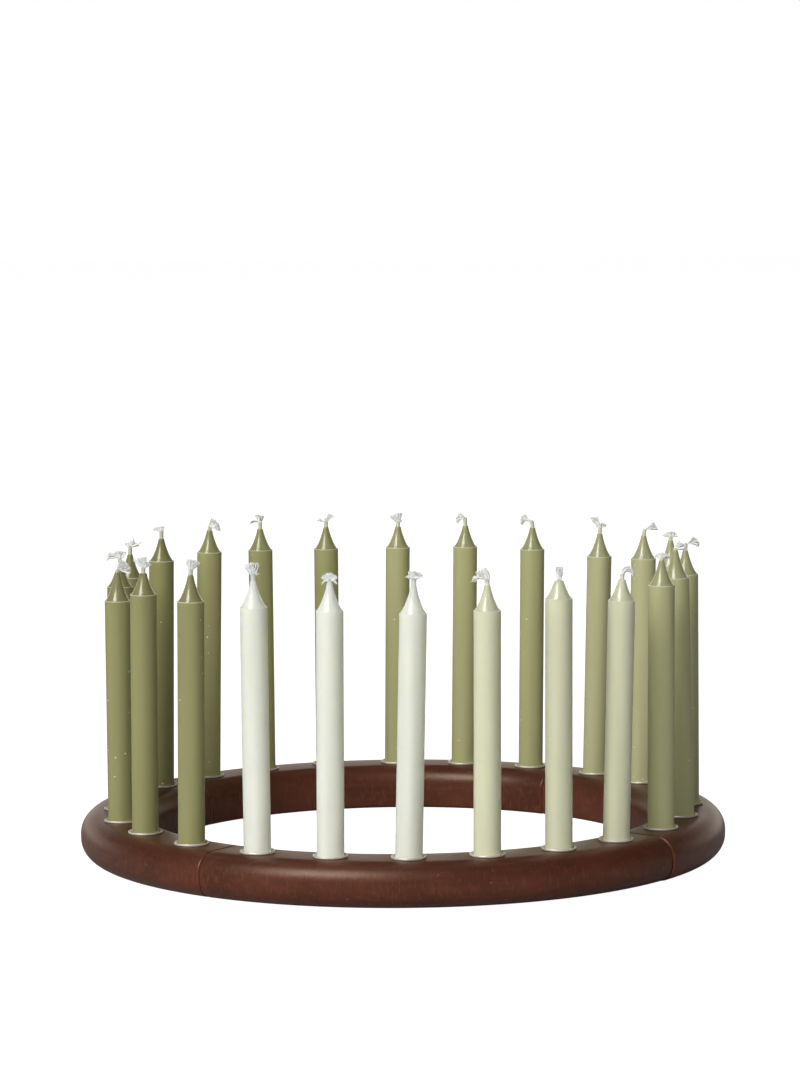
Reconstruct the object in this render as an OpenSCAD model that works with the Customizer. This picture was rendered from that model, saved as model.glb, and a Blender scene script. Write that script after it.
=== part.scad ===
// Advent candle holder: a wreath of four loose wooden quarters, pinned end to end with dowels.
// Each quarter carries six thin metal cups, and a slim candle stands in each cup.
// The origin is the centre of the ring on the table. The four seams lie on the X and Y axes.

/* [Wooden ring] */
// Diameter of the circle that the candles stand on
pitch_d = 288; // [275:1:400]
// Wood outside that circle
wood_outside = 17.8; // [14:0.1:30]
// Wood inside that circle
wood_inside = 19.2; // [14:0.1:30]
// Height of the wood
ring_h = 22; // [20:0.5:40]
// Rounding of the outer top edge
outer_top_round = 10.2; // [2:0.1:12]
// Rounding of the outer bottom edge
outer_foot_round = 9.5; // [2:0.5:11]
// Rounding of the inner top edge
inner_top_round = 9.5; // [2:0.5:11]
// Rounding of the inner bottom edge
inner_foot_round = 2; // [1:0.5:8]
// Least flat wood between a candle's socket and the roundings of the top edges
socket_margin = 0.2; // [0.1:0.05:1]
// Wood along the ring between a dowel's hole and the nearest socket, before the sockets stray
seam_margin = 3.406193; // [2.5:0.000001:8]
// Gap between two quarters at a seam
seam_gap = 0.3; // [0.1:0.1:1]
// Bevel that eases the edges of a quarter's two ends
end_ease = 1.1; // [0.6:0.1:2]
// How far the back right quarter stands out past its neighbours
proud = 0.9; // [0:0.1:1.5]
// Step that the hand drilled sockets stray by
stray = 1; // [0:0.1:1.2]

/* [Dowels] */
// Diameter of the dowel in each seam
dowel_d = 6; // [4:0.5:8]
// Length of a dowel
dowel_l = 18; // [12:1:18]
// Radial clearance of a dowel in its holes
dowel_fit = 0.05; // [0.02:0.01:0.1]
// Room left past each end of a dowel
dowel_end_room = 0.4; // [0.2:0.1:1]

/* [Candle cups] */
// Depth of a cup below the top of the wood
cup_depth = 12.5; // [9:0.5:14]
// Thickness of the cup's metal
cup_wall = 0.4; // [0.3:0.05:0.6]
// Radial clearance between cup and wood
cup_fit = 0.05; // [0.03:0.01:0.1]
// Room left under a cup
cup_foot_room = 0.3; // [0.1:0.1:1]
// Width of the flat part of the rim that lies on the wood
cup_seat = 0.35; // [0.2:0.05:1]
// Diameter of the flared rim
cup_rim_d = 16.8; // [16.6:0.1:20]
// Height of the flared rim above the wood
cup_rim_h = 1.1; // [0.7:0.1:2]

/* [Candles] */
// Diameter of a candle
candle_d = 13; // [11:0.1:13]
// Length of a candle's straight body
body_l = 129.2; // [80:0.1:220]
// Radial clearance between candle and cup
candle_fit = 0.35; // [0.3:0.05:0.5]
// Lift of a candle's foot above the cup's floor, before its lean is added
foot_gap = 0.05; // [0.02:0.01:0.2]
// Height of the flared cone on top of most candles
cone_h = 11.8; // [8:0.1:16]
// Diameter of the cone at its tip
cone_tip_d = 2.8; // [2.6:0.1:4]
// How far the cone's side is drawn in from a straight line
cone_hollow = 0.45; // [0.2:0.05:1.2]
// Width of the thin rim round the shoulder
lip_w = 0.45; // [0.3:0.05:0.8]
// Height of that rim
lip_h = 0.3; // [0.2:0.05:0.6]
// Shoulder between that rim and the cone
ledge_w = 0.25; // [0.1:0.05:0.6]
// Step in length that the candles differ by
trim = 2; // [0:0.1:4]

/* [Wicks] */
// Diameter of a waxed wick
wick_d = 2; // [1.4:0.1:2]
// Clearance round the wick in the wax
wick_fit = 0.04; // [0.02:0.01:0.1]
// Tallest bare neck between the cone's tip and the frayed end
neck_l = 4.8; // [2:0.1:6]
// Length of the longest frayed end
tuft_l = 8; // [4:0.1:12]
// Thickness of a strand
strand_d = 1.2; // [0.6:0.1:1.6]

/* [Hidden] */
per_quarter = 6;
quarter_tags = ["front_right", "back_right", "back_left", "front_left"];
seam_tags = ["right", "back", "left", "front"];
quarters = len(quarter_tags);
candles = per_quarter * quarters;
numbers = [for (k = [1 : candles]) str(k < 10 ? "0" : "", k)];

// Colours: stained wood, bare dowels, cups, cotton, and the eight shades of wax
wood_colour = [0.36, 0.19, 0.14];
dowel_colour = [0.76, 0.60, 0.42];
cup_colour = [0.80, 0.78, 0.75];
wick_colour = [0.95, 0.95, 0.90];
wax_colours = [
    [0.89, 0.90, 0.85], [0.80, 0.80, 0.69], [0.66, 0.66, 0.51], [0.66, 0.66, 0.50],
    [0.63, 0.64, 0.46], [0.60, 0.60, 0.44], [0.58, 0.57, 0.40], [0.55, 0.54, 0.36],
];

// Overrun of a cut past the face that it starts from
over = 1;
// Steps that the bevelled end of a quarter is cut in
ease_steps = 2;

pitch_r = pitch_d / 2;
quarter_turn = 360 / quarters;
first_turn = -90;
// The end of a quarter stands back from the seam by half of the gap
gap_turn = seam_gap / 2 / pitch_r * 180 / PI;
ease_turn = end_ease / pitch_r * 180 / PI;

candle_r = candle_d / 2;
cup_in_r = candle_r + candle_fit;
cup_out_r = cup_in_r + cup_wall;
cup_rim_r = cup_rim_d / 2;
socket_r = cup_out_r + cup_fit;
socket_depth = cup_depth + cup_foot_room;
cup_floor_z = ring_h - cup_depth + cup_wall;

// The sockets are drilled by hand. From candle 1 on, in shares of stray: along the ring, and inwards
along_shares = [
    0.3, 0.25, 0.05, 0.3, 0.5, -0.3,
    -0.45, 0.1, -0.35, 0.05, -2.3, -2.3,
    -0.95, 0.5, -0.05, 0.35, 0.8, 0.3,
    -1.6, 0.35, -1.35, -2.3, -2.3, 0.05
];
inward_shares = [
    0, 0.4, 0, 0, 0, 0.4,
    0.4, 1.4, 0.2, 0.2, 0, 0,
    0.6, 1, 1, 0, 0, 0,
    0, 0, 2, 0, 0, 0
];

// The roundings stop short of the sockets
top_round = min(outer_top_round, ring_h / 2, wood_outside - socket_r - socket_margin);
foot_round = min(outer_foot_round, ring_h / 2);
in_top_round = min(inner_top_round, wood_inside - stray * max(inward_shares) - socket_r - socket_margin);

dowel_r = dowel_d / 2;
dowel_z = ring_h / 2;
dowel_room = dowel_l / 2 + dowel_end_room;

// The first and last sockets of a quarter stand clear of the dowels, and the others are spread between them
seam_turn = (dowel_room + seam_margin + socket_r) / pitch_r * 180 / PI;
candle_turn = (quarter_turn - 2 * seam_turn) / (per_quarter - 1);

cone_foot_r = candle_r - lip_w - ledge_w;
cone_tip_r = cone_tip_d / 2;
wick_r = wick_d / 2;

// The candles aren't all cut to one length. From candle 1 on, in shares of the trim:
trim_shares = [
    -0.3, -0.5, -1.1, -0.9, 1, -1,
    0.9, 0.7, -0.3, 0, 0.1, -0.8,
    0, 0.1, -0.1, -0.1, 0.5, 1.1,
    0.5, -1.8, -2.2, -3.7, -0.3, -0.3
];
// They lean a little in their cups, all in one plane. From candle 1 on, in degrees:
lean_bearing = 36.5;
leans = [
    -0.3, 0.3, 1.4, 0.3, 0.2, 1.4,
    0.2, -1.2, -0.2, 0.1, 0.8, 1.3,
    0.7, 0.8, 0.7, 0, -0.2, 1,
    0.7, 0.9, 0.6, -0.1, 0.3, 0.5
];
// The height of each cone, in shares of cone_h
cone_shares = [
    1, 1.05, 1.08, 1.02, 0.71, 0.84,
    1, 1.13, 1, 1.06, 1, 1,
    0.96, 0.95, 0.93, 0.98, 0.93, 0.96,
    0.95, 0.98, 0.84, 1.17, 0.86, 1.05
];
// The waxed neck of each wick, in shares of neck_l
neck_shares = [
    0.8, 0.5, 0.8, 0.6, 0.2, 0.6,
    0.4, 0.3, 0.85, 0.6, 0.75, 0.75,
    0.85, 1, 0.65, 0.75, 0.85, 0.55,
    1, 0.95, 0.95, 0.4, 0.7, 0.7
];
// The frayed end of each wick, in shares of tuft_l
tuft_shares = [
    0.75, 0.45, 0.6, 0.95, 0.65, 0.75,
    0.5, 0.7, 0.95, 0.55, 0.95, 0.8,
    0.8, 0.75, 0.65, 0.75, 0.75, 0.75,
    0.5, 0.85, 1, 0.85, 0.75, 0.7
];
// How far each frayed end is bent over, in degrees along the lean bearing
bends = [
    -20, 0, 5, -70, 0, 55,
    10, 60, 70, -10, 70, 0,
    -65, -50, -25, -5, -35, 45,
    -40, 55, -60, 55, -40, 25
];
// How wide each frayed end fans out to each side, in degrees
fans = [
    40, 80, 55, 40, 25, 35,
    60, 30, 35, 70, 30, 50,
    35, 35, 45, 65, 45, 35,
    40, 35, 30, 35, 45, 50
];
// The strands of a frayed end: sides, share of the fan, and tilt across it in degrees
strand_sides = 5;
strand_shares = [-1, -0.5, 0, 0.5, 1];
strand_tilts = [12, -16, 10, -14, 12];

function stray_turn_of(k) = stray * along_shares[k] / pitch_r * 180 / PI;
function turn_of(k) = first_turn + (floor(k / per_quarter) + 0.5) * quarter_turn
    + (k % per_quarter - (per_quarter - 1) / 2) * candle_turn + stray_turn_of(k);
function reach_of(k) = pitch_r - stray * inward_shares[k];
function body_of(k) = body_l + trim_shares[k] * trim;
function cone_of(k) = cone_h * cone_shares[k];
// The foot of a leaning candle is lifted so that its lowest edge still clears the cup's floor
function foot_z(k) = cup_floor_z + foot_gap + candle_r * abs(sin(leans[k]));
function proud_of(q) = q == 1 ? proud : 0;

// What is left of a square corner when it is rounded off, with the rounding's centre at the origin
module corner_waste(r) {
    difference() {
        square(r + over);
        circle(r, $fn = 96);
    }
}

// Cross-section of the wood, standing on the table, drawn in by inset on every side
module section(inset, extra) {
    x_in = pitch_r - wood_inside + inset;
    x_out = pitch_r + wood_outside + extra - inset;
    z_top = ring_h - inset;
    top_r = top_round - inset;
    foot_r = foot_round - inset;
    in_top_r = in_top_round - inset;
    in_foot_r = max(inner_foot_round - inset, end_ease / ease_steps);
    difference() {
        translate([x_in, inset]) square([x_out - x_in, z_top - inset]);
        translate([x_out - top_r, z_top - top_r]) corner_waste(top_r);
        translate([x_out - foot_r, inset + foot_r]) mirror([0, 1]) corner_waste(foot_r);
        translate([x_in + in_top_r, z_top - in_top_r]) mirror([1, 0]) corner_waste(in_top_r);
        translate([x_in + in_foot_r, inset + in_foot_r]) rotate(180) corner_waste(in_foot_r);
    }
}

// A stretch of the ring from one bearing to another
module arc(from, to, inset, extra) {
    rotate([0, 0, from]) rotate_extrude(angle = to - from, $fn = 360) section(inset, extra);
}

// The wood of quarter q before it is drilled. Its ends are bevelled by thinner arcs that reach further
module quarter_blank(q) {
    start = first_turn + q * quarter_turn + gap_turn;
    end = first_turn + (q + 1) * quarter_turn - gap_turn;
    extra = proud_of(q);
    arc(start + ease_turn, end - ease_turn, 0, extra);
    for (i = [0 : ease_steps - 1]) {
        back = ease_turn * i / ease_steps;
        arc(start + back, end - back, end_ease * (1 - (i + 0.5) / ease_steps), extra);
    }
}

// Puts a shape at candle place k, with its origin on top of the wood
module at_place(k) {
    rotate([0, 0, turn_of(k)]) translate([reach_of(k), 0, ring_h]) children();
}

// Lays a shape that stands at the origin along the dowel of seam s
module at_seam(s) {
    rotate([0, 0, s * quarter_turn]) translate([pitch_r, 0, dowel_z]) rotate([-90, 0, 0]) children();
}

module quarter(q) {
    color(wood_colour) difference() {
        quarter_blank(q);
        for (k = [q * per_quarter : (q + 1) * per_quarter - 1])
            at_place(k) translate([0, 0, -socket_depth])
                cylinder(r = socket_r, h = socket_depth + over, $fn = 96);
        at_seam(q) translate([0, 0, -dowel_room]) cylinder(r = dowel_r + dowel_fit, h = dowel_room, $fn = 64);
        at_seam(q - 1) cylinder(r = dowel_r + dowel_fit, h = dowel_room, $fn = 64);
    }
}

// Half of a cup's section: tube, floor, the narrow seat on the wood and the rim that flares up from it
module cup_side() {
    polygon([
        [0, -cup_depth], [cup_out_r, -cup_depth], [cup_out_r, 0], [cup_out_r + cup_seat, 0],
        [cup_rim_r, cup_rim_h - cup_wall], [cup_rim_r, cup_rim_h], [cup_rim_r - cup_wall, cup_rim_h],
        [cup_out_r, cup_wall], [cup_in_r, 0], [cup_in_r, cup_wall - cup_depth], [0, cup_wall - cup_depth]
    ]);
}

module cups(q) {
    color(cup_colour)
        for (k = [q * per_quarter : (q + 1) * per_quarter - 1])
            at_place(k) rotate_extrude($fn = 96) cup_side();
}

module dowel(s) {
    color(dowel_colour) at_seam(s) translate([0, 0, -dowel_l / 2]) cylinder(r = dowel_r, h = dowel_l, $fn = 64);
}

// Puts a shape that stands at the origin where candle k stands, leaning about the middle of its cup
module at_candle(k) {
    pivot = (ring_h - cup_floor_z) / 2;
    rotate([0, 0, turn_of(k)]) translate([reach_of(k), 0, foot_z(k) + pivot])
        rotate([0, 0, lean_bearing - turn_of(k)]) rotate([0, leans[k], 0])
            translate([0, 0, -pivot]) children();
}

// Half of a cone's section: an arc that is hollow between the shoulder and the tip
module cone_side(height) {
    run = cone_foot_r - cone_tip_r;
    chord = norm([run, height]);
    hollow_r = (pow(chord, 2) / 4 + pow(cone_hollow, 2)) / (2 * cone_hollow);
    reach = (hollow_r - cone_hollow) / chord;
    middle = [(cone_foot_r + cone_tip_r) / 2, height / 2];
    difference() {
        square([cone_foot_r, height]);
        translate(middle + reach * [height, run]) circle(hollow_r, $fn = 360);
    }
}

module candle(k) {
    body = body_of(k);
    color(wax_colours[floor(k / 3)]) at_candle(k) difference() {
        rotate_extrude($fn = 96) {
            square([candle_r, body]);
            translate([0, body]) cone_side(cone_of(k));
            translate([candle_r - lip_w, body]) square([lip_w, lip_h]);
        }
        translate([0, 0, -over]) cylinder(r = wick_r + wick_fit, h = body + cone_of(k) + 2 * over, $fn = 48);
    }
}

// The cotton runs from the candle's foot up to the neck, and frays there into a bent fan of strands
module wick(k) {
    neck = body_of(k) + cone_of(k) + neck_shares[k] * neck_l;
    tuft = tuft_shares[k] * tuft_l;
    color(wick_colour) at_candle(k) {
        cylinder(r = wick_r, h = neck, $fn = 48);
        translate([0, 0, neck - strand_d])
            for (i = [0 : len(strand_shares) - 1])
                rotate([0, bends[k] + strand_shares[i] * fans[k], 0]) rotate([strand_tilts[i], 0, 0])
                    cylinder(d = strand_d, h = tuft + strand_d, $fn = strand_sides);
    }
}

for (q = [0 : quarters - 1]) {
    quarter(q);
    cups(q);
    dowel(q);
}
for (k = [0 : candles - 1]) {
    candle(k);
    wick(k);
}
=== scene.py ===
# %% [markdown]
# # An advent candle holder
# Four stained beech quarters make a ring on the table. Twenty four slim candles stand round it in thin
# metal cups, one for each day of December up to Christmas Eve, and their wax goes from white to moss green.
#
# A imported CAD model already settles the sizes, the places and what can move. It is loaded here as a fixed
# frame. Every visible piece is then built round it, in metres, and told which moving body it rides on.
# %% Load the frame
import math
import random

import bmesh
import bpy
from mathutils import Matrix, Vector


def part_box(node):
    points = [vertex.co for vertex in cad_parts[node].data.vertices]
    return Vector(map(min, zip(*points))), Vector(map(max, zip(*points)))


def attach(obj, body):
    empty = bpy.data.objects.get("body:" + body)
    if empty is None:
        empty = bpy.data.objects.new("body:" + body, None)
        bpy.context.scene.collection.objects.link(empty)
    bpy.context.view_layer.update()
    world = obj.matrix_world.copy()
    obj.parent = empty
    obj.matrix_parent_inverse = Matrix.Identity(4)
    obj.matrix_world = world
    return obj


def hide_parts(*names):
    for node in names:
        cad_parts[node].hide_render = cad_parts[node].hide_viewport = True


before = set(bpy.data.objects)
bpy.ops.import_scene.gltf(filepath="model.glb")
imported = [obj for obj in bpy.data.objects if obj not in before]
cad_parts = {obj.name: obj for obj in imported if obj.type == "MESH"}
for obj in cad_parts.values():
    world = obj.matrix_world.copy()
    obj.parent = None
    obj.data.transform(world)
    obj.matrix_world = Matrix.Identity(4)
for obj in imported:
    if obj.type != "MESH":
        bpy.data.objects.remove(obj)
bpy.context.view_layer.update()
MM = 0.001

# %% [markdown]
# ## The camera
# The camera comes first, because every later choice is judged through it. The photograph was taken from
# about two metres away with a long lens, from about twice the candles' height. The place and the aim below
# make the ring and the candles fall where the photograph has them. Blender fits its sensor to the longer
# side of the picture, so the focal length in pixels turns into millimetres through the picture's height.
# %% Camera
PHOTO_H = 1067
FOCAL_PX = 3820
SENSOR_MM = 36
EYE_BEARING = math.radians(-53.52)
EYE_DISTANCE = 1.9073
EYE_HEIGHT = 0.3457
EYE_PITCH = math.radians(5.548)
EYE_ROLL = math.radians(-0.423)
# Metres to the farthest thing that the camera draws
SEEN_TO = 30


def bearing_vector(bearing):
    """A level unit vector at a bearing, counted anticlockwise from +X."""
    return Vector((math.cos(bearing), math.sin(bearing), 0))


up = Vector((0, 0, 1))
toward_eye = bearing_vector(EYE_BEARING)
right_of_view = up.cross(toward_eye)
aim = -toward_eye * math.cos(EYE_PITCH) - up * math.sin(EYE_PITCH)
level_up = right_of_view.cross(aim)
rolled_right = right_of_view * math.cos(EYE_ROLL) + level_up * math.sin(EYE_ROLL)
rolled_up = level_up * math.cos(EYE_ROLL) - right_of_view * math.sin(EYE_ROLL)

eye = bpy.data.objects.new("eye", bpy.data.cameras.new("eye"))
bpy.context.scene.collection.objects.link(eye)
eye.data.sensor_width = SENSOR_MM
eye.data.lens = FOCAL_PX / PHOTO_H * SENSOR_MM
eye.data.clip_end = SEEN_TO
eye.matrix_world = Matrix.Translation(toward_eye * EYE_DISTANCE + up * EYE_HEIGHT) @ Matrix(
    (rolled_right, rolled_up, -aim)).transposed().to_4x4()
bpy.context.scene.camera = eye
bpy.context.scene.view_settings.view_transform = "Standard"
print("lens", round(eye.data.lens, 1), "mm, seen from", [round(x, 3) for x in eye.location])

# %% [markdown]
# ## Making materials with nodes
# Each finish is a small node network. A helper keeps the networks readable: it adds a node, sets its
# options and its unlinked sockets, and links the rest.
# %% Node helpers
def add(tree, kind, options=(), **sockets):
    """Adds a node. options are its own properties; sockets are values, or outputs to link."""
    made = tree.nodes.new(kind)
    for name, value in dict(options).items():
        setattr(made, name, value)
    for name, value in sockets.items():
        socket = made.inputs[int(name[1:])] if name[0] == "i" and name[1:].isdigit() else made.inputs[
            name.replace("_", " ")]
        if isinstance(value, bpy.types.NodeSocket):
            tree.links.new(value, socket)
        else:
            socket.default_value = value
    return made


def linear(red, green, blue):
    """A screen colour from 0 to 255 as the linear colour that a shader takes."""
    shares = [c / 255 for c in (red, green, blue)]
    return tuple(c / 12.92 if c < 0.04045 else ((c + 0.055) / 1.055) ** 2.4 for c in shares) + (1,)


def new_material(name):
    """An empty node material with its shader and the object's own coordinates."""
    made = bpy.data.materials.new(name)
    made.use_nodes = True
    tree = made.node_tree
    shader = tree.nodes["Principled BSDF"]
    place = add(tree, "ShaderNodeTexCoord").outputs["Object"]
    return made, tree, shader, place


def stretch(tree, place, scale, turn=0.0, shift=(0, 0, 0)):
    """The coordinates turned about the vertical, moved and then stretched."""
    turned = add(tree, "ShaderNodeMapping", {"vector_type": "POINT"}, Vector=place,
                 Rotation=(0, 0, turn), Location=shift)
    return add(tree, "ShaderNodeMapping", {"vector_type": "POINT"}, Vector=turned.outputs[0],
               Scale=scale).outputs[0]


def noise(tree, place, scale, detail=2.0, roughness=0.5):
    """Soft noise from 0 to 1. A scale of 100 gives spots about a centimetre apart."""
    return add(tree, "ShaderNodeTexNoise", Vector=place, Scale=scale, Detail=detail,
               Roughness=roughness).outputs[0]


def remap(tree, value, low, high, to_low, to_high):
    """Turns the stretch low to high of a value into to_low to to_high, and clamps the rest."""
    return add(tree, "ShaderNodeMapRange", {"clamp": True}, i0=value, i1=low, i2=high, i3=to_low,
               i4=to_high).outputs[0]


def blend_colours(tree, share, first, second):
    """Mixes two colours by a share from 0 to 1."""
    mixed = add(tree, "ShaderNodeMix", {"data_type": "RGBA"})
    for socket, value in ((mixed.inputs[0], share), (mixed.inputs[6], first), (mixed.inputs[7], second)):
        if isinstance(value, bpy.types.NodeSocket):
            tree.links.new(value, socket)
        else:
            socket.default_value = value
    return mixed.outputs[2]


def sums(tree, operation, first, second):
    """One arithmetic step on two values."""
    return add(tree, "ShaderNodeMath", {"operation": operation}, i0=first, i1=second).outputs[0]


def specks(tree, place, scale, size, rarity):
    """1 inside small round specks, one to a few cells, and 0 elsewhere."""
    cells = add(tree, "ShaderNodeTexVoronoi", Vector=place, Scale=scale)
    near = remap(tree, cells.outputs["Distance"], size, size * 1.6, 1, 0)
    chosen = remap(tree, add(tree, "ShaderNodeSeparateXYZ", Vector=cells.outputs["Color"]).outputs[0],
                   rarity, rarity + 0.01, 0, 1)
    return sums(tree, "MULTIPLY", near, chosen)


def bump(tree, shader, height, depth):
    """Lets a height from 0 to 1 raise the surface by depth, in metres."""
    raised = add(tree, "ShaderNodeBump", Height=height, Distance=depth, Strength=1.0)
    tree.links.new(raised.outputs[0], shader.inputs["Normal"])


print("node helpers ready")

# %% [markdown]
# ## Stained beech
# The ring is beech, stained dark red brown under a thin satin lacquer. Beech has short upright flecks, its
# wood rays, and faint long streaks along the grain. Noise draws both: stretched along the grain for the
# streaks, and upwards for the flecks. The four quarters are cut from different boards, so each gets its own
# material, with the grain along the quarter's chord and its own shift through the pattern. The stain is
# rubbed thinner at the eased ends, so the wood is a little lighter and redder there. Towards the top the
# wood is painted darker: that is painted shade on the rounded top. The tint on the reflections is the warm
# colour of the lacquer.
# %% Stained beech
QUARTERS = {"front_right": -45, "back_right": 45, "back_left": 135, "front_left": -135}
BEECH_DARK = linear(78, 43, 31)
BEECH_MID = linear(101, 55, 41)
BEECH_RED = linear(132, 74, 54)
# The colour that the top of the wood is painted towards, as painted shade
BEECH_PAINTED_SHADE = linear(38, 20, 14)
DUST = linear(150, 132, 118)
LACQUER_TINT = (1.0, 0.82, 0.64, 1)
LACQUER_ROUGHNESS = (0.32, 0.42)
STREAK_SCALE, CLOUD_SCALE, FLECK_SCALE = 420, 38, 1000
PORE_SCALE, WAVE_SCALE = 1500, 300
# Cells to a metre, a speck's radius as a share of a cell, and the share of cells that stay bare
DUST_SPECKS = (230, 0.05, 0.86)
RUBBED_WIDTH = 1.6 * MM
# The height where the painted shade towards the top begins, and the height where it is full
PAINTED_SHADE_FROM, PAINTED_SHADE_FULL = 12 * MM, 19 * MM
BEECH_RELIEF = 0.08 * MM


def stained_beech(tag, bearing):
    """The stained and lacquered wood of one quarter."""
    made, tree, shader, place = new_material("stained_beech_" + tag)
    turn = -math.radians(bearing)
    shift = (0.31 * bearing / 45, 0.17 * bearing / 45, 0)
    streaks = noise(tree, stretch(tree, place, (1, 0.09, 1), turn, shift), STREAK_SCALE, 4.0, 0.6)
    clouds = noise(tree, stretch(tree, place, (1, 0.5, 1), turn, shift), CLOUD_SCALE, 2.0)
    flecks = noise(tree, stretch(tree, place, (1, 1, 0.22), turn, shift), FLECK_SCALE, 1.0, 0.4)
    tone = blend_colours(tree, remap(tree, clouds, 0.3, 0.7, 0, 1), BEECH_DARK, BEECH_MID)
    tone = blend_colours(tree, remap(tree, streaks, 0.45, 0.8, 0, 0.35), tone, BEECH_RED)
    tone = blend_colours(tree, remap(tree, flecks, 0.56, 0.72, 0, 0.4), tone, BEECH_RED)
    tone = blend_colours(tree, specks(tree, place, *DUST_SPECKS), tone, DUST)
    axes = add(tree, "ShaderNodeSeparateXYZ", Vector=place)
    from_seam = sums(tree, "MINIMUM", sums(tree, "ABSOLUTE", axes.outputs[0], 0.0),
                     sums(tree, "ABSOLUTE", axes.outputs[1], 0.0))
    rubbed = remap(tree, from_seam, RUBBED_WIDTH * 0.4, RUBBED_WIDTH, 0.25, 0)
    tone = blend_colours(tree, rubbed, tone, BEECH_RED)
    # Painted shade: the wood turns darker from the first height up to the second
    painted_top_shade = remap(tree, axes.outputs[2], PAINTED_SHADE_FROM, PAINTED_SHADE_FULL, 0, 0.3)
    tree.links.new(blend_colours(tree, painted_top_shade, tone, BEECH_PAINTED_SHADE), shader.inputs["Base Color"])
    tree.links.new(remap(tree, clouds, 0.2, 0.8, *LACQUER_ROUGHNESS), shader.inputs["Roughness"])
    shader.inputs["Specular Tint"].default_value = LACQUER_TINT
    pores = noise(tree, stretch(tree, place, (1, 0.2, 1), turn, shift), PORE_SCALE, 2.0)
    waves = noise(tree, place, WAVE_SCALE, 2.0)
    bump(tree, shader, sums(tree, "ADD", sums(tree, "MULTIPLY", pores, 0.35), waves), BEECH_RELIEF)
    return made


beech = {tag: stained_beech(tag, bearing) for tag, bearing in QUARTERS.items()}
print("stained beech for", ", ".join(beech))

# %% [markdown]
# ## Wax
# The candles are dipped wax in eight shades, three candles to a shade. The straight body has a dull skin
# with faint upright streaks, pinholes and a few pale specks. The cone on top was dipped again, so it is
# smoother and shines, and a thin skin of wax runs a little way up the wick. Light sinks into wax before it
# comes out again. Subsurface scattering does that: deep in the pale shades, which have little pigment to
# stop the light, and shallow in the green ones.
# %% Wax
# Olive and fern are set darker than their wax, as painted shade for candles 18 and 19 in their neighbours'
# shadow
WAX_SHADES = {
    "wax_white": (240, 242, 229), "wax_cream": (226, 227, 198), "wax_pale_sage": (187, 187, 141),
    "wax_sage": (194, 193, 149), "wax_grey_green": (183, 182, 132), "wax_olive": (170, 169, 116),
    "wax_fern": (150, 148, 97), "wax_moss": (157, 155, 106),
}
# Near white wax: the pale specks and the waxed neck, and on the lip at the shoulder a painted highlight
PALE_WAX_AND_HIGHLIGHT = linear(236, 237, 222)
# How much of the light sinks into the pale shades, and to what depth in millimetres. In the others, pigment
# holds it nearer the skin.
SINKING = {"wax_white": (1.0, 7.0), "wax_cream": (0.9, 4.5)}
DARK_SINKING = (0.2, 2.0)
# Red light goes furthest through wax, and blue light least far
SINKING_REACH = (1.0, 0.95, 0.75)
WAX_IOR = 1.44
WAX_ROUGHNESS, CONE_ROUGHNESS = 0.46, 0.24
# A cone has a second coat of dyed wax, so it is darker than the body. White wax has no dye.
CONE_DEPTHS = {"wax_white": 1, "wax_cream": 0.9}
GREEN_CONE_DEPTH = 0.8
CONE_GLOSS, WHITE_CONE_GLOSS = 0.45, 0.2
PALE_SPECKS = (240, 0.075, 0.83)
PINHOLES = (330, 0.08, 0.8)
WAX_STREAK_SCALE, WAX_GRAIN_SCALE = 150, 700
CONE_RELIEF, BODY_RELIEF = 0.015 * MM, 0.07 * MM


def tinted(colour, factor):
    """A linear colour made lighter or darker."""
    return tuple(min(1, c * factor) for c in colour[:3]) + (1,)


def wax(slot, shade, part):
    """Dull wax for the body, glossy darker wax for the cone, or pale neck wax, which on the lip is a painted
    highlight.
    """
    made, tree, shader, place = new_material(slot + "_" + part)
    colour = linear(*shade)
    if part == "cone":
        colour = tinted(colour, CONE_DEPTHS.get(slot, GREEN_CONE_DEPTH))
    streaks = noise(tree, stretch(tree, place, (1, 1, 0.05)), WAX_STREAK_SCALE, 1.0)
    lighter = remap(tree, streaks, 0.3, 0.72, 0, 1)
    tone = blend_colours(tree, lighter, tinted(colour, 0.94), tinted(colour, 1.05))
    # The neck's pale wax, which on the lip stands for a painted highlight
    if part == "thin":
        tone = blend_colours(tree, 0.6, tone, PALE_WAX_AND_HIGHLIGHT)
    if part == "body":
        tone = blend_colours(tree, specks(tree, place, *PALE_SPECKS), tone, PALE_WAX_AND_HIGHLIGHT)
    tree.links.new(tone, shader.inputs["Base Color"])
    weight, depth = SINKING.get(slot, DARK_SINKING)
    shader.inputs["Subsurface Weight"].default_value = weight
    shader.inputs["Subsurface Radius"].default_value = SINKING_REACH
    shader.inputs["Subsurface Scale"].default_value = depth * MM
    shader.inputs["IOR"].default_value = WAX_IOR
    shader.inputs["Roughness"].default_value = CONE_ROUGHNESS if part == "cone" else WAX_ROUGHNESS
    grain = noise(tree, place, WAX_GRAIN_SCALE, 3.0)
    if part == "cone":
        shader.inputs["Specular IOR Level"].default_value = 0.6
        shader.inputs["Coat Weight"].default_value = WHITE_CONE_GLOSS if slot == "wax_white" else CONE_GLOSS
        shader.inputs["Coat Roughness"].default_value = 0.12
        bump(tree, shader, grain, CONE_RELIEF)
    else:
        pits = sums(tree, "SUBTRACT", 1.0, specks(tree, place, *PINHOLES))
        bump(tree, shader, sums(tree, "ADD", sums(tree, "MULTIPLY", grain, 0.5), pits), BODY_RELIEF)
    return made


waxes = {slot: [wax(slot, shade, part) for part in ("body", "cone", "thin")]
         for slot, shade in WAX_SHADES.items()}
print(len(waxes), "shades of wax")

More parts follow.
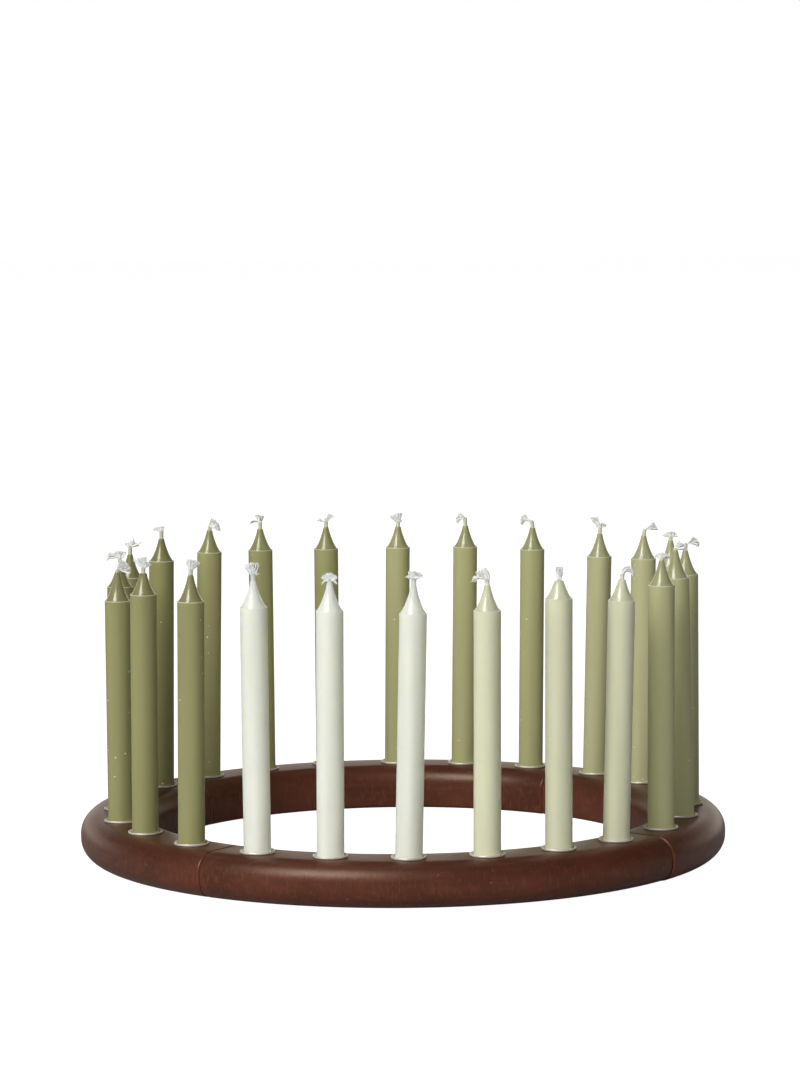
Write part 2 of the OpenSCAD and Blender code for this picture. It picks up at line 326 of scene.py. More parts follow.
# %% [markdown]
# ## Cotton, cup metal and bare wood
# The wicks are white braided cotton, and a little sheen gives their fuzz. The cups are thin pale plated
# metal that has gone dull, so it is only half metallic here: it shines, but stays pale where there is
# nothing bright to mirror. The dowels are plain beech without stain, and show only when the ring is pulled
# apart.
# %% Cotton, metal and dowel wood
COTTON = linear(243, 244, 240), linear(253, 253, 250)
PLATING = linear(228, 220, 204), linear(246, 240, 226)
BARE_WOOD = linear(176, 136, 94), linear(214, 178, 134)
YARN_SCALE, SMEAR_SCALE, PEEL_SCALE, GRAIN_SCALE = 2600, 320, 900, 300
YARN_RELIEF, METAL_RELIEF, BARE_RELIEF = 0.05 * MM, 0.03 * MM, 0.05 * MM


def cotton():
    """Matt white cotton yarn."""
    made, tree, shader, place = new_material("wick_cotton")
    yarn = noise(tree, place, YARN_SCALE, 2.0)
    tone = blend_colours(tree, remap(tree, yarn, 0.3, 0.7, 0, 1), *COTTON)
    tree.links.new(tone, shader.inputs["Base Color"])
    shader.inputs["Roughness"].default_value = 0.85
    shader.inputs["Diffuse Roughness"].default_value = 1.0
    shader.inputs["Sheen Weight"].default_value = 0.6
    shader.inputs["Sheen Roughness"].default_value = 0.6
    bump(tree, shader, yarn, YARN_RELIEF)
    return made


def cup_metal():
    """Thin plated metal, a little uneven in its shine."""
    made, tree, shader, place = new_material("cup_metal")
    smear = noise(tree, place, SMEAR_SCALE, 3.0)
    tone = blend_colours(tree, remap(tree, smear, 0.3, 0.7, 0, 1), *PLATING)
    tree.links.new(tone, shader.inputs["Base Color"])
    tree.links.new(remap(tree, smear, 0.3, 0.7, 0.4, 0.55), shader.inputs["Roughness"])
    shader.inputs["Metallic"].default_value = 0.45
    bump(tree, shader, noise(tree, place, PEEL_SCALE, 2.0), METAL_RELIEF)
    return made


def dowel_beech():
    """Bare beech with its grain along the dowel, which lies along the ring."""
    made, tree, shader, place = new_material("dowel_beech")
    grain = noise(tree, stretch(tree, place, (1, 1, 6)), GRAIN_SCALE, 4.0, 0.6)
    tone = blend_colours(tree, remap(tree, grain, 0.3, 0.7, 0, 1), *BARE_WOOD)
    tree.links.new(tone, shader.inputs["Base Color"])
    shader.inputs["Roughness"].default_value = 0.62
    bump(tree, shader, grain, BARE_RELIEF)
    return made


cotton_yarn, plated_metal, bare_beech = cotton(), cup_metal(), dowel_beech()
for seam in ("right", "back", "left", "front"):
    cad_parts["dowel_" + seam].material_slots[0].material = bare_beech
print("cotton, metal and dowel wood ready")

# %% [markdown]
# ## From rings of points to skins
# Nearly everything here is long and round, so one helper joins rings of points, each with as many points
# as the last, by a skin of four sided faces. A second helper turns the finished mesh into a piece, gives it
# its materials, and says what it stands for and which body it rides on.
# %% Mesh helpers
# Degrees that an edge may bend by and still be shaded smooth
SHARP_EDGE = 40


def skin(mesh, rings, capped=False):
    """Joins rings of points by faces, closes the ends if asked, and returns the rings as vertices."""
    rows = [[mesh.verts.new(point) for point in ring] for ring in rings]
    for low, high in zip(rows, rows[1:]):
        for i in range(len(low)):
            j = (i + 1) % len(low)
            mesh.faces.new((low[i], low[j], high[j], high[i]))
    if capped:
        mesh.faces.new(rows[0][::-1])
        mesh.faces.new(rows[-1])
    return rows


def object_of(mesh, name, materials, sharp=SHARP_EDGE):
    """Turns a bmesh into an object, smooth but for edges that bend by more than sharp degrees."""
    bmesh.ops.recalc_face_normals(mesh, faces=mesh.faces)
    data = bpy.data.meshes.new(name)
    mesh.to_mesh(data)
    mesh.free()
    data.shade_smooth()
    data.set_sharp_from_angle(angle=math.radians(sharp))
    made = bpy.data.objects.new(name, data)
    bpy.context.scene.collection.objects.link(made)
    for material in materials:
        data.materials.append(material)
    return made


def seat(piece, body, slot, *nodes):
    """The piece rides on a body and stands for CAD nodes, which are hidden. slot is not used."""
    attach(piece, body)
    if nodes:
        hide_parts(*nodes)


def arc(centre, radius, start, end, steps):
    """Points along an arc in a plane, with angles in degrees."""
    angles = [math.radians(start + (end - start) * i / steps) for i in range(steps + 1)]
    return [(centre[0] + radius * math.cos(a), centre[1] + radius * math.sin(a)) for a in angles]


print("mesh helpers ready")

# %% [markdown]
# ## Where each candle stands
# The sockets were drilled by hand, the candles lean a little in their cups, and they aren't all one length.
# All of that is in the frame already, so it is read from each candle's CAD solid: the middle of its lowest
# points, the middle of its highest, and the line between them. A candle leans about the middle of its cup,
# so that point of the line is also the middle of its socket.
# %% Candle axes
CANDLES = [f"{k:02d}" for k in range(1, 25)]
PER_QUARTER = 6
CANDLE_R = 6.5 * MM
FOOT_TO_PIVOT = 6.05 * MM
CONE_H = 11.8 * MM
# The height of each cone, from candle 01 on, in shares of CONE_H
CONE_SHARES = (
    1, 1.05, 1.08, 1.02, 0.71, 0.84,
    1, 1.13, 1, 1.06, 1, 1,
    0.96, 0.95, 0.93, 0.98, 0.93, 0.96,
    0.95, 0.98, 0.84, 1.17, 0.86, 1.05,
)
# The way to the right in the photograph. The candles lean and the wicks bend along it.
LEAN_RIGHT = bearing_vector(math.radians(36.5))
SLOTS = list(WAX_SHADES)
CANDLES_TO_A_SHADE = 3
# Points of a CAD candle that lie this near one of its ends belong to that end
END_BAND = 0.5 * MM


def slot_of(number):
    """The wax of a candle. Neighbours share a shade."""
    return SLOTS[(int(number) - 1) // CANDLES_TO_A_SHADE]


def axis_of(number):
    """The middle of a candle's foot, its direction, the length of its body and the height of its cone."""
    points = [v.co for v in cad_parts["candle_" + number].data.vertices]
    low, high = min(p.z for p in points), max(p.z for p in points)
    feet = [p for p in points if p.z < low + END_BAND]
    tips = [p for p in points if p.z > high - END_BAND]
    foot, tip = (sum(group, Vector()) / len(group) for group in (feet, tips))
    cone = CONE_H * CONE_SHARES[int(number) - 1]
    return foot, (tip - foot).normalized(), (tip - foot).length - cone, cone


def socket_of(number):
    """The middle of a candle's socket, on the table's plane."""
    foot, direction = axes[number][:2]
    pivot = foot + direction * FOOT_TO_PIVOT
    return Vector((pivot.x, pivot.y, 0))


axes = {number: axis_of(number) for number in CANDLES}
print("bodies from", round(min(a[2] for a in axes.values()) / MM, 1), "to",
      round(max(a[2] for a in axes.values()) / MM, 1), "mm long")

# %% [markdown]
# ## The four quarters
# A quarter is a rounded rectangle swept along a quarter turn. Its outer side is nearly a full round, and
# its inner top edge is softer than its inner foot. The two ends are eased: the last rings of the sweep
# shrink along a small quarter round, so light catches the edges beside each seam. The sockets and the
# dowel holes are then cut with one boolean, because they are true round holes.
# %% Sizes of the wood, read from the frame
def radii_of(node):
    """The least and the greatest distance of a node's points from the ring's axis."""
    reach = [math.hypot(v.co.x, v.co.y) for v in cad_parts[node].data.vertices]
    return min(reach), max(reach)


RING_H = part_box("quarter_front_right")[1].z
PITCH_R = 144 * MM
OUTER_TOP, OUTER_FOOT, INNER_TOP, INNER_FOOT = 10.2 * MM, 9.5 * MM, 9.5 * MM, 2 * MM
LEAST_ROUND = 0.3 * MM
END_EASE = 1.1 * MM
SEAM_GAP = 0.1 * MM
EASE_STEPS, SWEEP_STEPS = 6, 72
SOCKET_R, SOCKET_DEPTH = 7.3 * MM, 12.8 * MM
DOWEL_R, DOWEL_DEPTH = 3.05 * MM, 9.4 * MM
print("ring", round(RING_H / MM, 1), "mm high,", [round(r / MM, 1) for r in radii_of("quarter_front_right")])


# %% The section and the sweep
def wood_section(inner, outer, inset):
    """The outline of the wood as points of radius and height, drawn in by inset."""
    low, high, left, right = inset, RING_H - inset, inner + inset, outer - inset
    rounds = OUTER_FOOT, OUTER_TOP, INNER_TOP, INNER_FOOT
    foot, top, in_top, in_foot = (max(r - inset, LEAST_ROUND) for r in rounds)
    return (arc((right - foot, low + foot), foot, -90, 0, 14)
            + arc((right - top, high - top), top, 0, 90, 16)
            + arc((left + in_top, high - in_top), in_top, 90, 180, 12)
            + arc((left + in_foot, low + in_foot), in_foot, 180, 270, 5))


def quarter_wood(tag, bearing):
    """One quarter of the ring, before its holes are cut."""
    inner, outer = radii_of("quarter_" + tag)
    middle = math.radians(bearing)
    half = math.pi / 4 - SEAM_GAP / 2 / PITCH_R
    ends = [(half - END_EASE * (1 - math.cos(a)) / PITCH_R, END_EASE * (1 - math.sin(a)))
            for a in (math.radians(90 * i / EASE_STEPS) for i in range(EASE_STEPS + 1))]
    stations = [(-turn, inset) for turn, inset in ends]
    plain = half - 2 * END_EASE / PITCH_R
    stations += [((-1 + 2 * i / SWEEP_STEPS) * plain, 0) for i in range(SWEEP_STEPS + 1)]
    stations += [(turn, inset) for turn, inset in reversed(ends)]
    mesh = bmesh.new()
    rings = [[bearing_vector(middle + turn) * r + up * z for r, z in wood_section(inner, outer, inset)]
             for turn, inset in stations]
    skin(mesh, rings, capped=True)
    return mesh


def cylinder(mesh, foot, axis, radius, sides):
    """A closed round bar from foot along axis, to cut with."""
    across = axis.orthogonal().normalized()
    beside = axis.normalized().cross(across)
    ring = [(across * math.cos(a) + beside * math.sin(a)) * radius
            for a in (2 * math.pi * i / sides for i in range(sides))]
    skin(mesh, [[foot + p for p in ring], [foot + axis + p for p in ring]], capped=True)


def cut(piece, cutter):
    """Takes the cutter out of the piece, and applies it."""
    change = piece.modifiers.new("holes", "BOOLEAN")
    change.operation, change.solver, change.object = "DIFFERENCE", "EXACT", cutter
    result = bpy.data.meshes.new_from_object(piece.evaluated_get(bpy.context.evaluated_depsgraph_get()))
    piece.modifiers.clear()
    piece.data = result
    result.shade_smooth()
    result.set_sharp_from_angle(angle=math.radians(SHARP_EDGE))
    bpy.data.objects.remove(cutter)


print("section, sweep and cutting helpers ready")


# %% Build the quarters
for number, (tag, bearing) in enumerate(QUARTERS.items()):
    piece = object_of(quarter_wood(tag, bearing), "eased_quarter_" + tag, [beech[tag]])
    holes = bmesh.new()
    for candle in CANDLES[number * PER_QUARTER:(number + 1) * PER_QUARTER]:
        floor_of_socket = socket_of(candle) + up * (RING_H - SOCKET_DEPTH)
        cylinder(holes, floor_of_socket, up * 2 * SOCKET_DEPTH, SOCKET_R, 64)
    for side in (-1, 1):
        end = math.radians(bearing + 45 * side)
        inward = Vector((math.sin(end), -math.cos(end), 0)) * side
        start = bearing_vector(end) * PITCH_R + up * RING_H / 2
        cylinder(holes, start - inward * DOWEL_DEPTH, inward * 2 * DOWEL_DEPTH, DOWEL_R, 40)
    cut(piece, object_of(holes, "holes_" + tag, []))
    seat(piece, "quarter_" + tag + "_body", "wood", "quarter_" + tag)
    print(piece.name, len(piece.data.polygons), "faces")

# %% [markdown]
# ## The cups
# Each socket is lined with a thin drawn cup. Its rim is turned out and up into a shallow dish with a
# rolled edge, which catches the light all round the candle's foot. A cup is a turned shape, so its half
# section is written as points and swept round. The rims were pressed by hand, so each wavers by about a
# tenth of a millimetre, and no two are alike.
# %% Cups
CUP_OUT, CUP_IN, CUP_DEPTH = 7.25 * MM, 6.85 * MM, 12.5 * MM
RIM_R, RIM_H = 8.4 * MM, 1.1 * MM
CUP_FLOOR_T = 0.4 * MM
CUP_CORNER_R, CUP_INNER_CORNER_R = 1 * MM, 0.8 * MM
# What a wave of 1 moves the rim by, sideways and up
RIM_WAVER, RIM_WAVER_UP = 0.04 * MM, 0.07 * MM
WAVES_ROUND_A_RIM = (2, 3, 5, 9, 14, 21)


def cup_profile():
    """Half of a cup's section, from the outside of its floor over the rim to the inside of its floor."""
    outside = arc((CUP_OUT - CUP_CORNER_R, CUP_CORNER_R - CUP_DEPTH), CUP_CORNER_R, -90, 0, 5)
    seat_of_rim = [(CUP_OUT, -0.3 * MM), (CUP_OUT + 0.1 * MM, 0.04 * MM), (RIM_R - 0.3 * MM, 0.05 * MM)]
    bead = [(RIM_R - 0.1 * MM, 0.13 * MM), (RIM_R, 0.35 * MM), (RIM_R - 0.01 * MM, 0.75 * MM),
            (RIM_R - 0.08 * MM, 0.98 * MM), (RIM_R - 0.22 * MM, RIM_H),
            (RIM_R - 0.38 * MM, RIM_H - 0.06 * MM), (RIM_R - 0.5 * MM, RIM_H - 0.24 * MM)]
    dish = [(RIM_R - 0.75 * MM, 0.62 * MM), (CUP_OUT, 0.42 * MM), (CUP_IN + 0.12 * MM, 0.3 * MM),
            (CUP_IN, -0.1 * MM)]
    corner = CUP_IN - CUP_INNER_CORNER_R, CUP_INNER_CORNER_R + CUP_FLOOR_T - CUP_DEPTH
    return outside + seat_of_rim + bead + dish + arc(corner, CUP_INNER_CORNER_R, 0, -90, 5)


def wavy_cup(mesh, spot, dice, sides=96):
    """Adds one cup at a spot on top of the wood. The higher up its rim, the more it wavers."""
    lobes = [(n, dice.uniform(0.3, 1) / n ** 0.6, dice.uniform(0, 2 * math.pi))
             for n in WAVES_ROUND_A_RIM]
    rings = []
    for r, z in cup_profile():
        free = max(0, min(1, (z + 0.1 * MM) / RIM_H))
        ring = []
        for i in range(sides):
            a = 2 * math.pi * i / sides
            wave = sum(size * math.sin(n * a + phase) for n, size, phase in lobes)
            out, rise = r + free * RIM_WAVER * wave, z + free * RIM_WAVER_UP * wave
            ring.append(spot + bearing_vector(a) * out + up * rise)
        rings.append(ring)
    made = skin(mesh, rings)
    for ends, height in ((made[0], -CUP_DEPTH), (made[-1], CUP_FLOOR_T - CUP_DEPTH)):
        middle = mesh.verts.new(spot + up * height)
        for i in range(sides):
            mesh.faces.new((ends[i], ends[(i + 1) % sides], middle))


for number, tag in enumerate(QUARTERS):
    mesh = bmesh.new()
    dice = random.Random(40 + number)
    for candle in CANDLES[number * PER_QUARTER:(number + 1) * PER_QUARTER]:
        wavy_cup(mesh, socket_of(candle) + up * RING_H, dice)
    piece = object_of(mesh, "rolled_cups_" + tag, [plated_metal], sharp=60)
    seat(piece, "quarter_" + tag + "_body", "cup_metal", "cups_" + tag)
    print(piece.name, len(piece.data.polygons), "faces")

# %% [markdown]
# ## Wax bodies
# A candle is turned from one outline: a straight body, a thin raised lip at the shoulder, a hollow cone,
# and a sleeve of wax up the wick. The rings of the outline are nudged by slow random waves, because a
# dipped candle is never quite round or straight. Each ring stays inside the CAD solid's own radius.
# %% Candle outline
# The cone's side as height above the shoulder and radius, in millimetres: it flares out at its foot
CONE_SIDE = (
    (0.1, 6.0), (0.35, 5.92), (0.7, 5.72), (1.2, 5.35), (1.8, 4.97),
    (2.5, 4.58), (3.4, 4.13), (4.3, 3.74), (5.5, 3.26), (6.8, 2.78),
    (8, 2.38), (9.2, 2.02), (10.4, 1.7), (11.4, 1.5), (11.8, 1.42),
)
LIP_W, LIP_H = 0.42 * MM, 0.3 * MM
NECK_R = 1.12 * MM
# One wick carries more wax than the others
THICK_NECK, THICK_NECK_R = "03", 1.3 * MM
# The side's last point may not come nearer to the tip than this
TIP_GAP = 0.3 * MM
# Candles are dipped, so they are out of round by about this much
OUT_OF_ROUND = 0.035 * MM
BODY_STEPS, NECK_STEPS = 24, 8
# The finishes of a candle's faces. The third is pale neck wax, and on the lip a painted highlight
BODY, CONE, NECK_AND_LIP_HIGHLIGHT = 0, 1, 2


def cone_rows(cone):
    """The rows of a cone. A short cone is cut off, and a tall one is drawn out."""
    drawn = max(1, cone / CONE_H)
    rows = [(h * drawn * MM, r * MM) for h, r in CONE_SIDE if h * drawn * MM < cone - TIP_GAP]
    below, above = [row for row in CONE_SIDE if row[0] * drawn * MM < cone][-1], CONE_SIDE[-1]
    return rows + [(cone, max(above[1], below[1] - 0.08) * MM)]


def candle_outline(number):
    """Radius, height and finish of each ring, from the foot to the top of the waxed neck."""
    body, cone = axes[number][2:]
    neck_r = THICK_NECK_R if number == THICK_NECK else NECK_R
    neck = TUFTS[number][0] * MM
    rows = [(CANDLE_R - 0.5 * MM, 0, BODY), (CANDLE_R - 0.12 * MM, 0.12 * MM, BODY)]
    rows += [(CANDLE_R, 0.5 * MM, BODY)]
    rows += [(CANDLE_R, body * i / BODY_STEPS, BODY) for i in range(1, BODY_STEPS)]
    rows += [(CANDLE_R, body - 0.5 * MM, BODY), (CANDLE_R, body - 0.12 * MM, BODY)]
    if slot_of(number) == "wax_white":
        rows += [(CANDLE_R - 0.05 * MM, body, BODY), (CANDLE_R - 0.18 * MM, body + 0.14 * MM, CONE)]
    else:
        # The lip is pale: a painted highlight along the shoulder's raised edge
        rows += [(CANDLE_R + 0.02 * MM, body + 0.02 * MM, NECK_AND_LIP_HIGHLIGHT),
                 (CANDLE_R, body + LIP_H - 0.06 * MM, NECK_AND_LIP_HIGHLIGHT),
                 (CANDLE_R - 0.12 * MM, body + LIP_H, NECK_AND_LIP_HIGHLIGHT),
                 (CANDLE_R - LIP_W, body + LIP_H - 0.08 * MM, NECK_AND_LIP_HIGHLIGHT)]
    rows += [(radius, body + height, CONE) for height, radius in cone_rows(cone)]
    top, tip_r = body + cone, rows[-1][0]
    corner = tip_r - neck_r
    rows += [(tip_r - corner * 0.25, top + 0.12 * MM, CONE), (tip_r - corner * 0.65, top + 0.26 * MM, CONE),
             (neck_r + corner * 0.08, top + 0.42 * MM, CONE)]
    rise = 0.6 * MM
    for i in range(NECK_STEPS + 1):
        knobbly = 1 + 0.05 * math.sin(3.1 * i + int(number))
        rows.append((neck_r * knobbly, top + rise + (neck - rise) * i / NECK_STEPS, NECK_AND_LIP_HIGHLIGHT))
    return rows


print(len(CONE_SIDE), "points down a cone's side")

# %% [markdown]
# ## Wicks
# Each wick ends in a tuft where the braid has frayed, and the tufts are the liveliest part of the
# photograph, so each is described one by one. A tuft is a few locks. A lock leaves the neck at an angle,
# curls along its length, and fans out into strands after a first stretch that stays together.
# Angles are in degrees from straight up, towards the right of the photograph, and lengths in millimetres.
# %% The locks of every tuft
# For each candle: the neck's length, its bend, and its locks as (angle, curl, length, fan, strands, hold)
TUFTS = {
    "01": (3.8, 0, [(-5, 6, 6.2, 50, 44, 0), (-40, 2, 5.6, 10, 8, 0.3), (52, 0, 2.3, 60, 12, 0)]),
    "02": (2.4, 0, [(0, 0, 3.5, 150, 60, 0), (-88, -40, 3.7, 40, 18, 0), (88, 40, 3.7, 40, 18, 0)]),
    "03": (3.8, 0, [(6, 0, 4.1, 70, 44, 0), (-56, 0, 3.3, 34, 18, 0), (52, 14, 4.5, 18, 18, 0)]),
    "04": (3.0, 0, [(-12, -52, 6.4, 44, 44, 0), (-62, -52, 7.6, 40, 26, 0.4), (-125, 0, 2.2, 40, 8, 0)]),
    "05": (1.0, 0, [(0, 0, 6.4, 20, 60, 0), (-112, -30, 3.2, 50, 26, 0), (112, 30, 3.2, 50, 26, 0)]),
    "06": (3.0, 6, [(4, 118, 6.8, 50, 46, 0.25), (10, 160, 7.4, 24, 16, 0.5)]),
    "07": (2.0, 0, [(8, 0, 3.1, 120, 46, 0), (-62, -10, 3.6, 14, 10, 0), (58, 20, 3.6, 50, 24, 0)]),
    "08": (1.5, 8, [(66, 0, 5.2, 62, 64, 0)]),
    "09": (4.0, 10, [(74, 4, 6.8, 74, 64, 0.2)]),
    "10": (2.8, 0, [(-6, 0, 3.0, 130, 50, 0), (-68, -10, 4.1, 24, 18, 0), (62, 16, 2.9, 30, 16, 0)]),
    "11": (3.7, 18, [(68, 4, 6.9, 52, 56, 0.25)]),
    "12": (3.7, 0, [(-28, -2, 7.4, 20, 40, 0), (40, 12, 3.9, 36, 20, 0)]),
    "13": (4.2, -22, [(-66, -26, 6.7, 130, 62, 0.45)]),
    "14": (4.8, -14, [(-80, -16, 5.0, 96, 60, 0.15)]),
    "15": (3.2, 0, [(-28, 0, 5.2, 46, 46, 0), (10, 0, 5.5, 16, 22, 0), (54, 0, 2.4, 40, 10, 0)]),
    "16": (3.7, 0, [(-72, -4, 4.7, 50, 26, 0.5), (42, -8, 5.2, 60, 36, 0.4), (-4, 0, 2.4, 16, 8, 0)]),
    "17": (4.0, 0, [(-48, -74, 5.8, 22, 34, 0.1), (-16, -10, 5.0, 18, 18, 0.2), (10, 6, 4.5, 16, 18, 0.1)]),
    "18": (2.7, 4, [(70, 0, 5.4, 96, 76, 0)]),
    "19": (4.7, 0, [(-62, -6, 4.3, 30, 24, 0), (-14, 0, 2.9, 70, 30, 0)]),
    "20": (4.5, 0, [(-14, 0, 3.0, 80, 36, 0), (42, 10, 4.1, 64, 38, 0), (58, -96, 6.6, 5, 4, 0.6),
                    (74, -18, 6.6, 5, 4, 0.6)]),
    "21": (4.6, 0, [(6, 0, 4.3, 64, 48, 0), (-52, -48, 7.2, 60, 26, 0.3)]),
    "22": (2.0, 14, [(64, 0, 6.2, 84, 84, 0)]),
    "23": (3.4, 0, [(-17, 0, 5.7, 58, 56, 0), (38, 0, 3.8, 60, 30, 0)]),
    "24": (3.3, 4, [(14, 4, 5.4, 64, 70, 0)]),
}
STRAND_R = 0.27 * MM
BRAID_R = 0.8 * MM
ROOT_SPREAD, ROOT_DEPTH = 0.9 * MM, 0.7 * MM
STRAND_STEPS = 8
# The share of its fan that a lock opens to while it still holds together
HELD_TOGETHER = 0.12
print(sum(lock[4] for tuft in TUFTS.values() for lock in tuft[2]), "strands in", len(TUFTS), "tufts")


# %% Turning and bending helpers
def leaning_frame(direction):
    """Two level-ish axes across a candle: one to the right of the photograph, one away from it."""
    side = (LEAN_RIGHT - direction * LEAN_RIGHT.dot(direction)).normalized()
    return side, direction.cross(side)


def tube(mesh, points, radii, sides=5):
    """A round bar along points, thinning as the radii say, with flat ends."""
    rings = []
    for i, point in enumerate(points):
        along = (points[min(i + 1, len(points) - 1)] - points[max(i - 1, 0)]).normalized()
        across = along.cross(Vector((0.31, 0.83, 0.46))).normalized()
        beside = along.cross(across)
        rings.append([point + (across * math.cos(a) + beside * math.sin(a)) * radii[i]
                      for a in (2 * math.pi * j / sides for j in range(sides))])
    skin(mesh, rings, capped=True)


print("turning and bending helpers ready")


def neck_line(number, steps=10):
    """The wick's middle from the cone's tip to where it frays, and its direction there."""
    foot, direction, body, cone = axes[number]
    side, away = leaning_frame(direction)
    neck, bend = TUFTS[number][:2]
    points = [foot + direction * (body + cone)]
    for i in range(steps):
        angle = math.radians(bend) * ((i + 1) / steps) ** 1.5
        heading = direction * math.cos(angle) + side * math.sin(angle)
        points.append(points[-1] + heading * neck * MM / steps)
    return points, heading


# %% Build the candles
def wax_candle(number, sides=56):
    """The wax of one candle, with its cone and the waxed neck of its wick."""
    foot, direction, body, cone = axes[number]
    side, away = leaning_frame(direction)
    dice = random.Random(100 + int(number))
    lobes = [(n, dice.uniform(0, 2 * math.pi), dice.uniform(0, 2 * math.pi)) for n in (1, 2, 3)]
    line = neck_line(number)[0]
    top, neck = body + cone, TUFTS[number][0] * MM
    rings, finishes = [], []
    for radius, height, finish in candle_outline(number):
        share = height / top
        if height <= top:
            middle = foot + direction * height
        else:
            climb = (height - top) / neck * (len(line) - 1)
            i = min(int(climb), len(line) - 2)
            middle = line[i].lerp(line[i + 1], climb - i)
        ring = []
        for j in range(sides):
            a = 2 * math.pi * j / sides
            wave = sum(math.sin(n * a + p + 5 * share * math.sin(q)) for n, p, q in lobes) / 3
            spread = radius - OUT_OF_ROUND * (1 + wave)
            ring.append(middle + (side * math.cos(a) + away * math.sin(a)) * spread)
        rings.append(ring)
        finishes.append(finish)
    mesh = bmesh.new()
    rows = [[mesh.verts.new(p) for p in ring] for ring in rings]
    for low, high, finish in zip(rows, rows[1:], finishes[1:]):
        for i in range(sides):
            j = (i + 1) % sides
            mesh.faces.new((low[i], low[j], high[j], high[i])).material_index = finish
    mesh.faces.new(rows[0][::-1])
    mesh.faces.new(rows[-1]).material_index = NECK_AND_LIP_HIGHLIGHT
    return mesh


for number in CANDLES:
    slot = slot_of(number)
    piece = object_of(wax_candle(number), "wax_candle_" + number, waxes[slot], sharp=50)
    seat(piece, f"candle_{number}_body", slot, "candle_" + number)
print("candles built")


# %% Build the wicks
def strand(root, frame_of_tuft, lock, place, dice):
    """The points of one strand of a lock. place runs from -1 to 1 across the lock's fan."""
    direction, side, away = frame_of_tuft
    angle, curl, length, fan, _, hold = lock
    splay = fan / 2 * place + dice.uniform(-3, 3)
    depth, wobble = dice.uniform(-20, 20), dice.uniform(0, 6.28)
    length *= MM * dice.uniform(0.86, 1.02)
    points = [root + side * ROOT_SPREAD * place * (1 - hold) + away * dice.uniform(-1, 1) * ROOT_DEPTH]
    for i in range(STRAND_STEPS):
        share = (i + 0.5) / STRAND_STEPS
        opened = 1 if share > hold else HELD_TOGETHER
        turn = math.radians(angle + curl * share + splay * opened + 8 * math.sin(wobble + 7 * share))
        out = math.radians(depth * opened + 8 * math.cos(wobble * 2 + 6 * share))
        heading = (direction * math.cos(turn) + side * math.sin(turn)) * math.cos(out) + away * math.sin(out)
        points.append(points[-1] + heading * length / STRAND_STEPS)
    return points


def cotton_wick(number):
    """The braid inside the wax and the frayed tuft above it."""
    foot, direction, body, cone = axes[number]
    side, away = leaning_frame(direction)
    dice = random.Random(200 + int(number))
    line, heading = neck_line(number)
    mesh = bmesh.new()
    core = [foot + direction * 0.02 * MM, foot + direction * (body + cone * 0.5)] + line
    tube(mesh, core, [BRAID_R] * len(core), sides=12)
    root = line[-1] - heading * 0.5 * MM
    for lock in TUFTS[number][2]:
        for i in range(lock[4]):
            points = strand(root, (direction, side, away), lock, (2 * i + 1) / lock[4] - 1, dice)
            thick = STRAND_R * dice.uniform(0.8, 1.25)
            tube(mesh, points, [thick * (1 - 0.5 * (j / STRAND_STEPS) ** 2) for j in range(len(points))])
    return mesh


for number in CANDLES:
    piece = object_of(cotton_wick(number), "frayed_wick_" + number, [cotton_yarn], sharp=80)
    seat(piece, f"candle_{number}_body", "wick_cotton", "wick_" + number)
print("wicks built")

# %% [markdown]
# ## The studio
# The photograph has a pure white ground. The floor is a pale plane that the camera and clear things see as
# white, and the object still shades it. Dark lacquer turns grey when it mirrors white from all round, so
# mirror rays see little of the floor. They see a warm room instead, which glows near the horizon, mostly
# behind the ring, and that glow is what lies on the flat top of the wood. A soft box can be kept to one
# job as well: the strip is seen only in reflections, where it makes the bright band along the front of the
# ring and the gleam on the cones, and the other boxes only light. Most of their light comes from the left,
# and the one behind the ring is there for a look from the back.
# %% Floor
FLOOR_REACH = 12.0
MIRRORED_FLOOR = 0.03
FLOOR_GREY = (0.35, 0.35, 0.35, 1)
FLOOR_GLOW = 0.97


def seen_directly(tree):
    """1 for rays from the camera and through clear things, a little for mirror rays, or else 0."""
    path = add(tree, "ShaderNodeLightPath")
    mirrored = sums(tree, "MULTIPLY", path.outputs["Is Glossy Ray"], MIRRORED_FLOOR)
    found = sums(tree, "MAXIMUM", path.outputs["Is Camera Ray"], mirrored)
    return sums(tree, "MAXIMUM", found, path.outputs["Is Transmission Ray"])


def pale_floor():
    """A white floor that keeps the object's shadow."""
    made = bpy.data.materials.new("pale_floor")
    made.use_nodes = True
    tree = made.node_tree
    tree.nodes.clear()
    matt = add(tree, "ShaderNodeBsdfDiffuse", Color=FLOOR_GREY)
    glow = add(tree, "ShaderNodeEmission", Strength=sums(tree, "MULTIPLY", seen_directly(tree), FLOOR_GLOW))
    both = add(tree, "ShaderNodeAddShader", i0=matt.outputs[0], i1=glow.outputs[0])
    add(tree, "ShaderNodeOutputMaterial", Surface=both.outputs[0])
    return made


mesh = bmesh.new()
mesh.faces.new([mesh.verts.new(bearing_vector(math.radians(a)) * FLOOR_REACH) for a in range(0, 360, 10)])
floor = object_of(mesh, "floor", [pale_floor()])
print("floor", FLOOR_REACH, "m to each side")

# %% World
WARM_ROOM = (1.0, 0.93, 0.82, 1)
WHITE = (1, 1, 1, 1)
AMBIENT = 0.05
# The glow is full below the first height and nearly gone above the second, where straight up is 1
GLOW_HEIGHTS = 0.2, 0.36
ROOM_BEHIND, ROOM_LEFT, ROOM_ALL_ROUND = 1.2, 0.15, 0.05


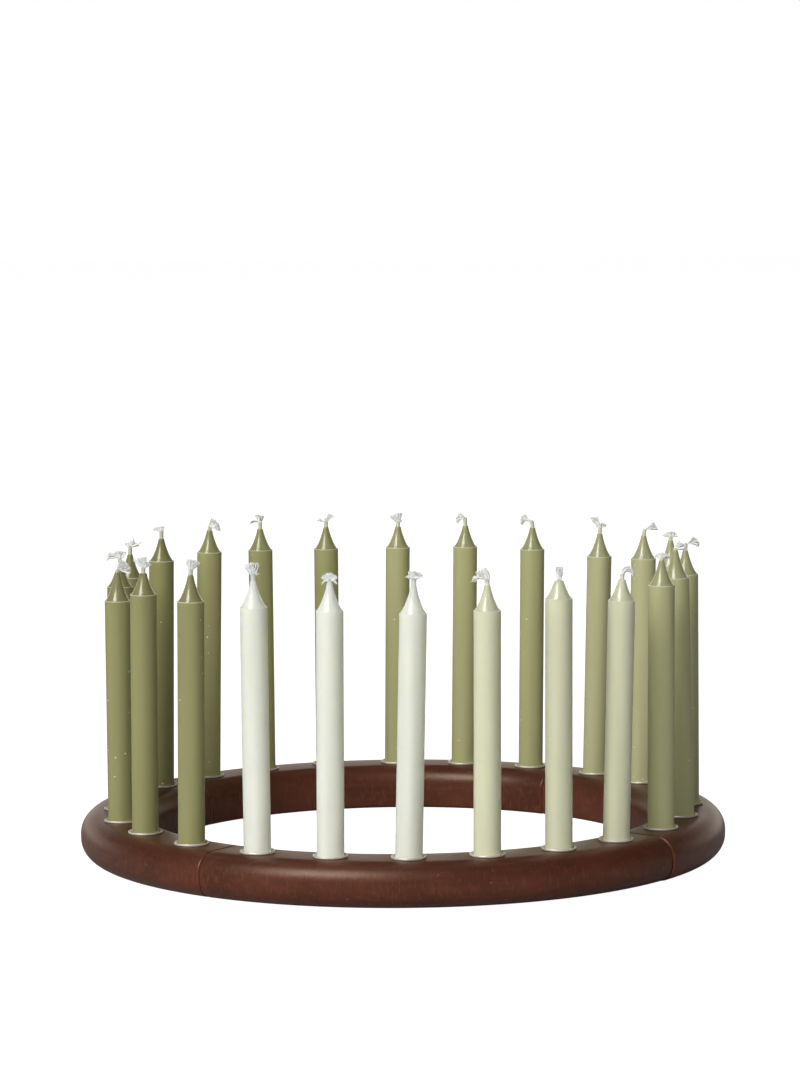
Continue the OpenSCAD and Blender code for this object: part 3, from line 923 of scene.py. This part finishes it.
def studio_world():
    """White for the camera, a room that is brighter low down, left and behind for mirror rays, dim else."""
    world = bpy.data.worlds.new("studio")
    bpy.context.scene.world = world
    world.use_nodes = True
    tree = world.node_tree
    tree.nodes.clear()
    heading = add(tree, "ShaderNodeTexCoord").outputs["Generated"]
    height = add(tree, "ShaderNodeSeparateXYZ", Vector=heading).outputs[2]

    def toward(direction, low, high, strength):
        """A strength that grows as rays turn from one side's low share to its high share."""
        facing = add(tree, "ShaderNodeVectorMath", {"operation": "DOT_PRODUCT"}, i0=heading, i1=direction)
        return remap(tree, facing.outputs["Value"], low, high, 0.0, strength)

    near_horizon = remap(tree, height, *GLOW_HEIGHTS, 1.0, 0.05)
    behind = toward(-toward_eye, 0.4, 0.95, ROOM_BEHIND)
    left = toward(-right_of_view, 0.2, 1.0, ROOM_LEFT)
    sides = sums(tree, "ADD", sums(tree, "ADD", behind, left), ROOM_ALL_ROUND)
    mirrored = sums(tree, "MULTIPLY", sides, near_horizon)
    path = add(tree, "ShaderNodeLightPath")
    direct = sums(tree, "MAXIMUM", path.outputs["Is Camera Ray"], path.outputs["Is Transmission Ray"])
    glossy = path.outputs["Is Glossy Ray"]
    felt = add(tree, "ShaderNodeMix", {"data_type": "FLOAT"}, i0=glossy, i2=AMBIENT, i3=mirrored)
    strength = add(tree, "ShaderNodeMix", {"data_type": "FLOAT"}, i0=direct, i2=felt.outputs[0], i3=1.0)
    light = add(tree, "ShaderNodeBackground", Strength=strength.outputs[0])
    tree.links.new(blend_colours(tree, glossy, WHITE, WARM_ROOM), light.inputs["Color"])
    add(tree, "ShaderNodeOutputWorld", Surface=light.outputs[0])


studio_world()
print("world ready")


# %% Lamps
LAMP_DISTANCE = 5.0
LAMP_AIM = up * 0.08


def softbox(name, bearing, elevation, size, power, mirrored=False):
    """A soft box at a bearing from the camera's own and an elevation, either mirrored or lighting."""
    level = bearing_vector(EYE_BEARING + math.radians(bearing)) * math.cos(math.radians(elevation))
    spot = (level + up * math.sin(math.radians(elevation))) * LAMP_DISTANCE + LAMP_AIM
    lamp = bpy.data.objects.new(name, bpy.data.lights.new(name, "AREA"))
    lamp.data.shape = "RECTANGLE"
    lamp.data.size, lamp.data.size_y = size
    lamp.data.energy = power
    bpy.context.scene.collection.objects.link(lamp)
    lamp.location = spot
    lamp.rotation_euler = (spot - LAMP_AIM).to_track_quat("Z", "Y").to_euler()
    lamp.visible_diffuse, lamp.visible_glossy = not mirrored, mirrored
    print(name, [round(x, 2) for x in spot])


softbox("strip", -36, 46, (2.1, 2.7), 165, mirrored=True)
softbox("left box", -54, 16, (3.2, 1.6), 93)
softbox("front box", -22, 36, (2.4, 2.0), 150)
softbox("right box", 40, 16, (1.6, 1.6), 22)
softbox("back box", 165, 25, (3.0, 2.0), 110)
